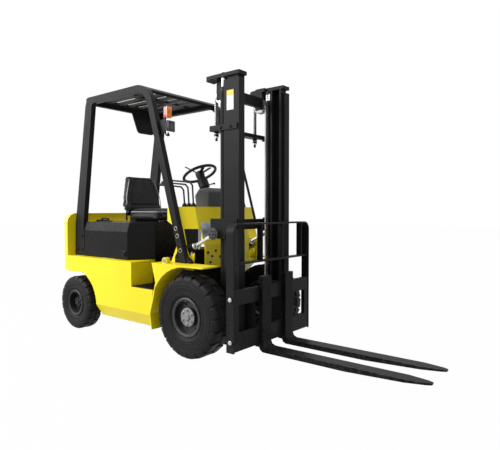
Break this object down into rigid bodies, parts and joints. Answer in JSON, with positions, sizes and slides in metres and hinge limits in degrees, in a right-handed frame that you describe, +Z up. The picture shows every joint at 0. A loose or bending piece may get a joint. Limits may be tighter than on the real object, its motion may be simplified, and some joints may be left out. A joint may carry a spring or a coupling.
{
  "type": "counterbalance forklift truck",
  "caption": "Sit-on counterbalance forklift: two-stage mast with side-hung tilt cylinders, fork carriage, overhead guard, hinged engine hood, cast counterweight and steered rear wheels.",
  "frame": {"origin": "on the floor under the middle of the whole length, from the counterweight's rear to the fork tips", "axes": "+X forward along the forks, +Y to the left, +Z up"},
  "size_m": [3.398, 1.082, 2.042],
  "materials": {
    "black_paint": "satin black paint",
    "yellow_paint": "gloss yellow paint",
    "yellow_cast": "yellow paint on a casting",
    "grey_plastic": "matt grey plastic",
    "black_plastic": "satin black",
    "bare_steel": "oiled steel",
    "lamp_plastic": "black housing with a clear and an amber lens",
    "axle_iron": "black painted casting",
    "seat_vinyl": "black vinyl",
    "tyre_rubber": "black rubber",
    "rim_grey": "grey metallic",
    "rim_black": "satin black",
    "chrome_rod": "hard chrome"
  },
  "bodies": {
    "chassis": {"frame": "black_paint", "side_tank_left": "yellow_paint", "side_tank_right": "yellow_paint", "counterweight": "yellow_cast", "floor_plates": "black_paint", "fenders": "yellow_paint", "cowl": "yellow_paint", "dash_cover": "grey_plastic", "steering_column": "black_plastic", "control_levers": "black_plastic", "pedals": "bare_steel", "overhead_guard": "black_paint", "lamps": "lamp_plastic", "grab_rail": "black_paint", "drive_axle": "axle_iron", "steer_axle": "axle_iron", "engine_block": "axle_iron"},
    "hood": {"hood": "black_plastic", "seat_base": "black_paint", "seat_cushion": "seat_vinyl", "seat_backrest": "seat_vinyl"},
    "steering_wheel": {"steering_wheel": "black_plastic"},
    "front_wheel_left": {"tyre_front_left": "tyre_rubber", "rim_front_left": "rim_grey"},
    "front_wheel_right": {"tyre_front_right": "tyre_rubber", "rim_front_right": "rim_grey"},
    "knuckle_left": {"knuckle_left": "axle_iron"},
    "knuckle_right": {"knuckle_right": "axle_iron"},
    "rear_wheel_left": {"tyre_rear_left": "tyre_rubber", "rim_rear_left": "rim_black"},
    "rear_wheel_right": {"tyre_rear_right": "tyre_rubber", "rim_rear_right": "rim_black"},
    "outer_mast": {"outer_mast": "black_paint", "lift_barrels": "black_paint", "chains_rear": "bare_steel"},
    "inner_mast": {"inner_mast": "black_paint", "lift_rods": "chrome_rod", "chain_pulleys": "bare_steel", "chains_front": "bare_steel"},
    "carriage": {"carriage": "black_paint", "load_backrest": "black_paint", "fork_left": "black_paint", "fork_right": "black_paint"},
    "tilt_barrels": {"tilt_barrels": "black_paint"},
    "tilt_rods": {"tilt_rods": "chrome_rod"}
  },
  "joints": [
    {"name": "front_wheel_left_spin", "type": "hinge", "parent": "chassis", "child": "front_wheel_left", "pos_m": [0.121, 0.443, 0.295], "axis": [0, 1, 0], "continuous": true},
    {"name": "front_wheel_right_spin", "type": "hinge", "parent": "chassis", "child": "front_wheel_right", "pos_m": [0.121, -0.443, 0.295], "axis": [0, 1, 0], "continuous": true},
    {"name": "steer_left", "type": "hinge", "parent": "chassis", "child": "knuckle_left", "pos_m": [-1.279, 0.3895, 0.233], "axis": [0, 0, 1], "range_deg": [-60, 60]},
    {"name": "steer_right", "type": "hinge", "parent": "chassis", "child": "knuckle_right", "pos_m": [-1.279, -0.3895, 0.233], "axis": [0, 0, 1], "range_deg": [-61, 61]},
    {"name": "rear_wheel_left_spin", "type": "hinge", "parent": "knuckle_left", "child": "rear_wheel_left", "pos_m": [-1.279, 0.4645, 0.233], "axis": [0, 1, 0], "continuous": true},
    {"name": "rear_wheel_right_spin", "type": "hinge", "parent": "knuckle_right", "child": "rear_wheel_right", "pos_m": [-1.279, -0.4645, 0.233], "axis": [0, 1, 0], "continuous": true},
    {"name": "steering_wheel_turn", "type": "hinge", "parent": "chassis", "child": "steering_wheel", "pos_m": [-0.252, 0, 1.352], "axis": [-0.454, 0, 0.891], "range_deg": [-815, 815]},
    {"name": "mast_tilt", "type": "hinge", "parent": "chassis", "child": "outer_mast", "pos_m": [0.121, 0, 0.295], "axis": [0, 1, 0], "range_deg": [-12, 6]},
    {"name": "tilt_barrel_swing", "type": "hinge", "parent": "chassis", "child": "tilt_barrels", "pos_m": [-0.20917, 0, 0.66587], "axis": [0, 1, 0], "range_deg": [-9.6, 5]},
    {"name": "tilt_rod_slide", "type": "slide", "parent": "tilt_barrels", "child": "tilt_rods", "axis": [0.8973, 0, 0.4415], "range_m": [-0.106, 0.056]},
    {"name": "inner_mast_lift", "type": "slide", "parent": "outer_mast", "child": "inner_mast", "axis": [0, 0, 1], "range_m": [-0.02, 1.46], "deforming": ["chains_rear"]},
    {"name": "carriage_lift", "type": "slide", "parent": "inner_mast", "child": "carriage", "axis": [0, 0, 1], "range_m": [-0.021, 1.461], "deforming": ["chains_front"]},
    {"name": "hood_lift", "type": "hinge", "parent": "chassis", "child": "hood", "pos_m": [-1.283, 0, 0.9554], "axis": [0, -1, 0], "range_deg": [0, 60]}
  ],
  "couplings": [
    {"joint": "steer_right", "follows": "steer_left", "ratio": 1},
    {"joint": "steering_wheel_turn", "follows": "steer_left", "ratio": -13.5},
    {"joint": "tilt_barrel_swing", "follows": "mast_tilt", "ratio": 0.75},
    {"joint": "tilt_rod_slide", "follows": "mast_tilt", "m_per_rad": 0.483},
    {"joint": "carriage_lift", "follows": "inner_mast_lift", "ratio": 1}
  ]
}
